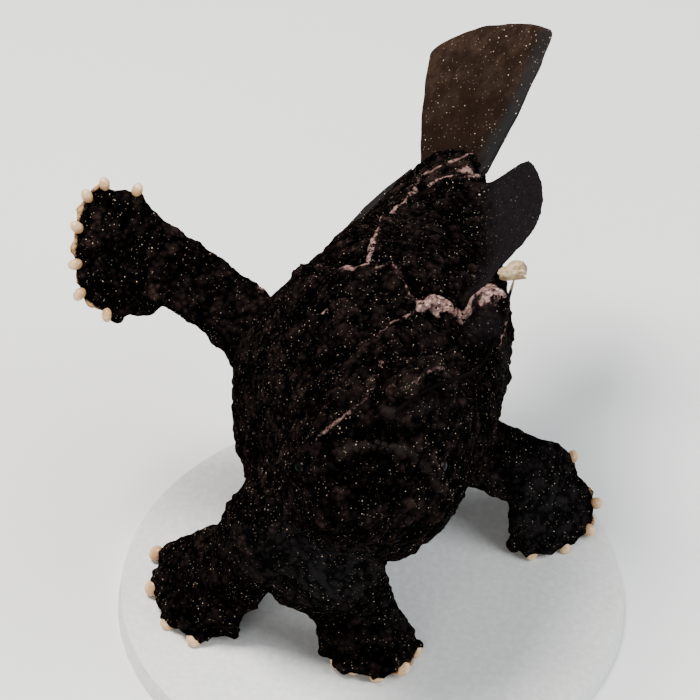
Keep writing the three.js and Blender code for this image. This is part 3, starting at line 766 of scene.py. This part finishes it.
        # Painted shade: blue-grey on the throat, the chest and the fish's left side
        blue_shade = paint.attribute("blue_shade") * (relief.step(0.3, 0.6) * 0.6 + 0.2)
        shade = paint.mix(blue_shade, shade, paint.colour(colours.blue_shade))
        fringe = (paint.attribute("fringe") + fine * 0.5).step(0.7, 1.1)
        shade = paint.mix(fringe, shade, paint.shaded(colours.toe, (0.62, 0.48, 0.36)))
        shade = paint.mix(paint.attribute("lobe") * (fine * 0.4 + 0.7), shade, paint.colour(colours.lobe))
        specks = paint.dots(0.0008, 0.15, 0.9) * 0.5
        for layer in (paint.dots(0.0013, 0.12, 0.6), paint.dots(0.004, 0.07, 0.25)):
            specks = specks.math("MAXIMUM", layer)
        specks = specks * (paint.noise(0.005, 2.0).step(0.36, 0.56) * 0.8 + 0.2)
        specks = specks * (1.0 - paint.attribute("lobe") * 0.6)
        beads = paint.dots(0.0008, 0.2, 0.7) * paint.attribute("beads")
        rim = (worn * (paint.noise(0.0013, 4.0, 0.7).step(0.36, 0.6) + 0.35)).step(0.28, 0.56)
        grains = 1.0 - paint.cells(0.0009, place=paint.warped(0.001, 0.0006))
        pale = (grains * 0.8 + paint.noise(0.0005, 3.0, 0.6) * 0.5) * (worn * 0.8 + 0.2)
        # Painted shade in the worn rims: dark pink-brown between the grains, full pale pink on their tops
        low, middle = (paint.shaded(colours.worn, shares) for shares in ((0.13, 0.1, 0.1), (0.42, 0.34, 0.33)))
        rim_shade = paint.mix(pale.step(0.15, 0.65), low, middle)
        rim_shade = paint.mix(pale.step(0.6, 0.85), rim_shade, paint.colour(colours.worn))
        shade = paint.mix(rim, shade, rim_shade)
        shade = paint.mix(specks.math("MAXIMUM", beads), shade, paint.colour(colours.speck))
        height = knobs * 0.9 + fine * 0.35 + specks * 0.3 + grains * worn
        return paint.finish(
            Base_Color=shade,
            Roughness=fine * 0.2 + 0.35,
            Normal=paint.bump(height, 0.0007, 1.0),
            Specular_IOR_Level=0.0,
        )


class FROGFISH_OT_toes(bpy.types.Operator):
    """Make the pale tips of the paired fins' rays"""

    bl_idname = "frogfish.toes"
    bl_label = "Fin tips"

    def execute(self, context):
        colours = context.scene.frogfish_colours
        toes = []
        for node, (radius, extra, across, pixels) in TOES.items():
            co = places(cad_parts[node].data)
            middle = co.mean(axis=0)
            for pixel in pixels:
                centre = beside(pixel, co)
                centre -= (centre - middle) / np.linalg.norm(centre - middle) * 0.5 * MM
                centre[2] = max(centre[2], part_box("stand_base")[1][2] + 0.95 * radius * MM)
                toes.append(self.toe(Vector(centre), Vector(centre - middle), radius * MM, extra * MM, across))
        piece = join(toes, "fin_tips")
        finished(piece, "pale_flesh", self.material(colours))
        return {"FINISHED"}

    def toe(self, centre, out, radius, extra, across):
        deselect()
        bpy.ops.mesh.primitive_uv_sphere_add(segments=16, ring_count=10, radius=radius)
        toe = bpy.context.object
        mesh = toe.data
        co = places(mesh)
        ahead = co[:, 2] / radius
        co[:, 2] += ahead * extra
        co[:, 0] *= across
        co[:, :2] *= (1 + 0.12 * np.clip(-ahead, 0, 1))[:, None]
        co *= (1 + 0.05 * roughness_of(co / radius + centre[0] / MM, 0.9, 5, 2))[:, None]
        side = out.cross(camera_axes()[2]).normalized()
        turn = Matrix((side, out.normalized().cross(side), out.normalized())).transposed()
        move_to(mesh, co @ np.array(turn).T + np.array(centre))
        store(mesh, "root", 0.5 - 0.9 * ahead)
        apply(toe, "SUBSURF", levels=1, render_levels=1)
        return toe

    def material(self, colours):
        paint = Paint("fin_tip")
        mottle = paint.noise(0.0011, 3.0, 0.6)
        low = paint.shaded(colours.toe, (0.72, 0.62, 0.5))
        shade = paint.mix(mottle.step(0.3, 0.7), low, paint.colour(colours.toe))
        # Painted shade: each tip turns darker orange-brown towards its root, where it meets the fin
        root_shade = paint.attribute("root") * (mottle * 0.8 + 0.4)
        shade = paint.mix(root_shade, shade, paint.shaded(colours.toe, (0.42, 0.28, 0.16)))
        return paint.finish(
            Base_Color=shade,
            Roughness=mottle * 0.2 + 0.25,
            Normal=paint.bump(paint.noise(0.0006, 3.0), 0.00012, 0.6),
            Subsurface_Weight=0.15,
            Subsurface_Scale=0.0012,
        )


class FROGFISH_OT_fins(bpy.types.Operator):
    """Make the anal and tail fins"""

    bl_idname = "frogfish.fins"
    bl_label = "Median fins"

    def execute(self, context):
        colours = context.scene.frogfish_colours
        material = self.material(colours)
        body = Sight(bpy.data.objects["skin"])
        for node in ("anal_fin", "caudal_fin"):
            fin = copy_of(node)
            soften(fin, 2, 70)
            apply(fin, "SMOOTH", factor=0.5, iterations=14)
            fin.name = node + "_skin"
            mesh = fin.data
            co = places(mesh)
            reach = np.zeros(len(co))
            for i, point in enumerate(co):
                near, _, _, gap = body.tree.find_nearest(point)
                if gap < ROOT_PULL:
                    pull = 1 - gap / ROOT_PULL
                    co[i] += (np.array(near) - point) * (1 + 0.8 * MM / max(gap, 1e-5)) * min(1, 2 * pull)
                reach[i] = gap
            fold = roughness_of(co, 6 * MM, 4, 2)
            co += outward(mesh) * (0.25 * MM * fold)[:, None]
            move_to(mesh, co)
            store(mesh, "reach", reach / reach.max())
            # Where blue-grey shade is painted along the fin's folded edge
            strip = distance_to_line(co, [beside(pixel, co) for pixel in FIN_SHADE_STRIPS[node]])
            store(mesh, "edge", 1.5 - strip / (3.2 * MM))
            finished(fin, "fin", material, node)
        return {"FINISHED"}

    def material(self, colours):
        paint = Paint("fin")
        broad = paint.noise(0.007, 4.0, 0.65)
        rays = paint.noise(0.0016, 3.0, 0.6, stretch=(1.0, 1.0, 0.12))
        reach = paint.attribute("reach")
        lit = (broad.step(0.38, 0.62) * 0.7 + 0.3) * (reach.step(0.0, 0.9) * 0.8 + 0.2)
        lit = lit * (rays.step(0.3, 0.65) * 0.4 + 0.6)
        shade = paint.mix(lit, paint.colour([c * 0.25 for c in colours.fin]), paint.colour(colours.fin))
        # Painted shade: blue-grey on the folded edges
        shade = paint.mix(paint.attribute("edge") * (broad * 0.8 + 0.3), shade, paint.colour(colours.fin_fold_shade))
        specks = (paint.dots(0.0009, 0.16, 0.6) * 0.4).math("MAXIMUM", paint.dots(0.0016, 0.12, 0.5))
        shade = paint.mix(specks, shade, paint.colour(colours.speck))
        return paint.finish(
            Base_Color=shade, Roughness=0.45, Specular_IOR_Level=0.0,
            Normal=paint.bump(paint.noise(0.0008, 3.0) + rays * 0.6, 0.0003, 0.7),
        )


class FROGFISH_OT_eyes(bpy.types.Operator):
    """Make both eyes"""

    bl_idname = "frogfish.eyes"
    bl_label = "Eyes"

    def execute(self, context):
        skin = bpy.data.objects["skin"]
        for node, pixel in EYE_PIXELS.items():
            eye = copy_of(node)
            soften(eye, 2)
            eye.name = node + "_ball"
            mesh = eye.data
            co = places(mesh)
            centre = co.mean(axis=0)
            ahead = np.array(Sight(skin).on(pixel)) - centre
            ahead /= np.linalg.norm(ahead)
            facing = (co - centre) @ ahead / np.linalg.norm(co - centre, axis=1)
            move_to(mesh, centre + (co - centre) * 1.04 + ahead * 0.45 * MM)
            store(mesh, "facing", facing)
            finished(eye, "eye", self.material(), node)
        return {"FINISHED"}

    def material(self):
        paint = Paint("eye")
        facing = paint.attribute("facing")
        ring = facing.step(0.80, 0.86) * (1.0 - facing.step(0.90, 0.93))
        iris = facing.step(0.3, 0.6) * (1.0 - facing.step(0.90, 0.93))
        fleck = paint.noise(0.0005, 3.0, 0.6).step(0.45, 0.7)
        shade = paint.mix(iris * (fleck * 0.7 + 0.3), (0.002, 0.0018, 0.0018, 1), (0.012, 0.008, 0.0055, 1))
        shade = paint.mix(ring * 0.4, shade, (0.04, 0.028, 0.016, 1))
        return paint.finish(Base_Color=shade, Roughness=0.1, Specular_IOR_Level=0.06)


class FROGFISH_OT_lure(bpy.types.Operator):
    """Make the lure: its rod and its bait"""

    bl_idname = "frogfish.lure"
    bl_label = "Lure"

    def execute(self, context):
        lure = copy_of("lure")
        soften(lure, 2)
        lure.name = "lure_skin"
        mesh = lure.data
        co = places(mesh)
        bait = np.array(beside(BAIT_PIXEL, co))
        apart = distance_to(co, bait)
        store(mesh, "bait", 1.6 - apart / (2.6 * MM))
        store(mesh, "rod_tip", 1.6 - apart / (2.8 * MM))
        lure = join([lure, self.bait(Vector(bait))], "lure_skin")
        finished(lure, "pale_flesh", self.material(), "lure")
        return {"FINISHED"}

    def bait(self, centre):
        """A barrel with a crown of lobes at its end."""
        deselect()
        bpy.ops.mesh.primitive_uv_sphere_add(segments=60, ring_count=36, radius=1)
        bait = bpy.context.object
        mesh = bait.data
        co = places(mesh)
        bend = np.arccos(np.clip(co[:, 2], -1, 1))
        turn = np.arctan2(co[:, 1], co[:, 0])
        lobes = np.cos(BAIT_LOBES * turn + 0.5 * np.sin(2 * turn)) * bell(bend - 0.85, 0.42)
        length = 2.9 * np.cos(bend) + 1.3 * lobes - 2.0 * bell(bend, 0.5) - 0.5
        girth = 1.75 * np.sin(bend) ** 0.75 + 0.7 * lobes
        rough = 1 + 0.09 * roughness_of(co, 0.5, 9, 3)
        co = np.column_stack([np.cos(turn) * girth, np.sin(turn) * girth, length]) * (rough * MM)[:, None]
        right, up, back = camera_axes()
        ahead = (right + 0.2 * up + 0.15 * back).to_track_quat("Z", "Y").to_matrix()
        move_to(mesh, co @ np.array(ahead).T + np.array(centre))
        store(mesh, "bait", np.ones(len(co)))
        store(mesh, "rod_tip", np.ones(len(co)))
        return bait

    def material(self):
        paint = Paint("lure")
        mottle = paint.noise(0.0012, 3.0).step(0.35, 0.7)
        pale = paint.mix(mottle, (0.32, 0.22, 0.12, 1), (0.58, 0.46, 0.29, 1))
        bands = paint.noise(0.002, 2.0).step(0.35, 0.65)
        tip = paint.attribute("rod_tip") * (bands * 0.6 + 0.4)
        rod = paint.mix(tip, (0.004, 0.003, 0.003, 1), (0.14, 0.105, 0.08, 1))
        shade = paint.mix(paint.attribute("bait"), rod, pale)
        return paint.finish(
            Base_Color=shade, Roughness=mottle * 0.2 + 0.4, Specular_IOR_Level=0.0,
            Normal=paint.bump(paint.noise(0.0005, 3.0), 0.0002, 0.7),
        )


class FROGFISH_OT_base(bpy.types.Operator):
    """Finish the base under the feet"""

    bl_idname = "frogfish.base"
    bl_label = "Base"

    def execute(self, context):
        colours = context.scene.frogfish_colours
        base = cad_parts["stand_base"]
        paint = Paint("base")
        grain = paint.noise(0.0016, 4.0, 0.6)
        dim = paint.colour([c * 0.86 for c in colours.base])
        shade = paint.mix(grain.step(0.3, 0.75), dim, paint.colour(colours.base))
        material = paint.finish(Base_Color=shade, Roughness=0.75, Normal=paint.bump(grain, 0.0003, 0.5))
        base.data.materials.clear()
        base.data.materials.append(material)
        return {"FINISHED"}


class FROGFISH_PT_panel(bpy.types.Panel):
    bl_label = "Frogfish"
    bl_idname = "FROGFISH_PT_panel"
    bl_space_type = "VIEW_3D"
    bl_region_type = "UI"
    bl_category = "Frogfish"

    def draw(self, context):
        for operator in OPERATORS:
            self.layout.operator(operator.bl_idname)
        for group in (context.scene.frogfish_sizes, context.scene.frogfish_colours):
            box = self.layout.box()
            for name in group.__annotations__:
                box.prop(group, name)


OPERATORS = (
    FROGFISH_OT_stage,
    FROGFISH_OT_skin,
    FROGFISH_OT_toes,
    FROGFISH_OT_fins,
    FROGFISH_OT_eyes,
    FROGFISH_OT_lure,
    FROGFISH_OT_base,
)
CLASSES = (FrogfishSizes, FrogfishColours, *OPERATORS, FROGFISH_PT_panel)


def register():
    for item in CLASSES:
        bpy.utils.register_class(item)
    bpy.types.Scene.frogfish_sizes = PointerProperty(type=FrogfishSizes)
    bpy.types.Scene.frogfish_colours = PointerProperty(type=FrogfishColours)


def unregister():
    del bpy.types.Scene.frogfish_colours
    del bpy.types.Scene.frogfish_sizes
    for item in reversed(CLASSES):
        bpy.utils.unregister_class(item)


def main():
    register()
    for step in ("stage", "skin", "toes", "fins", "eyes", "lure", "base"):
        getattr(bpy.ops.frogfish, step)()


if __name__ == "__main__":
    main()
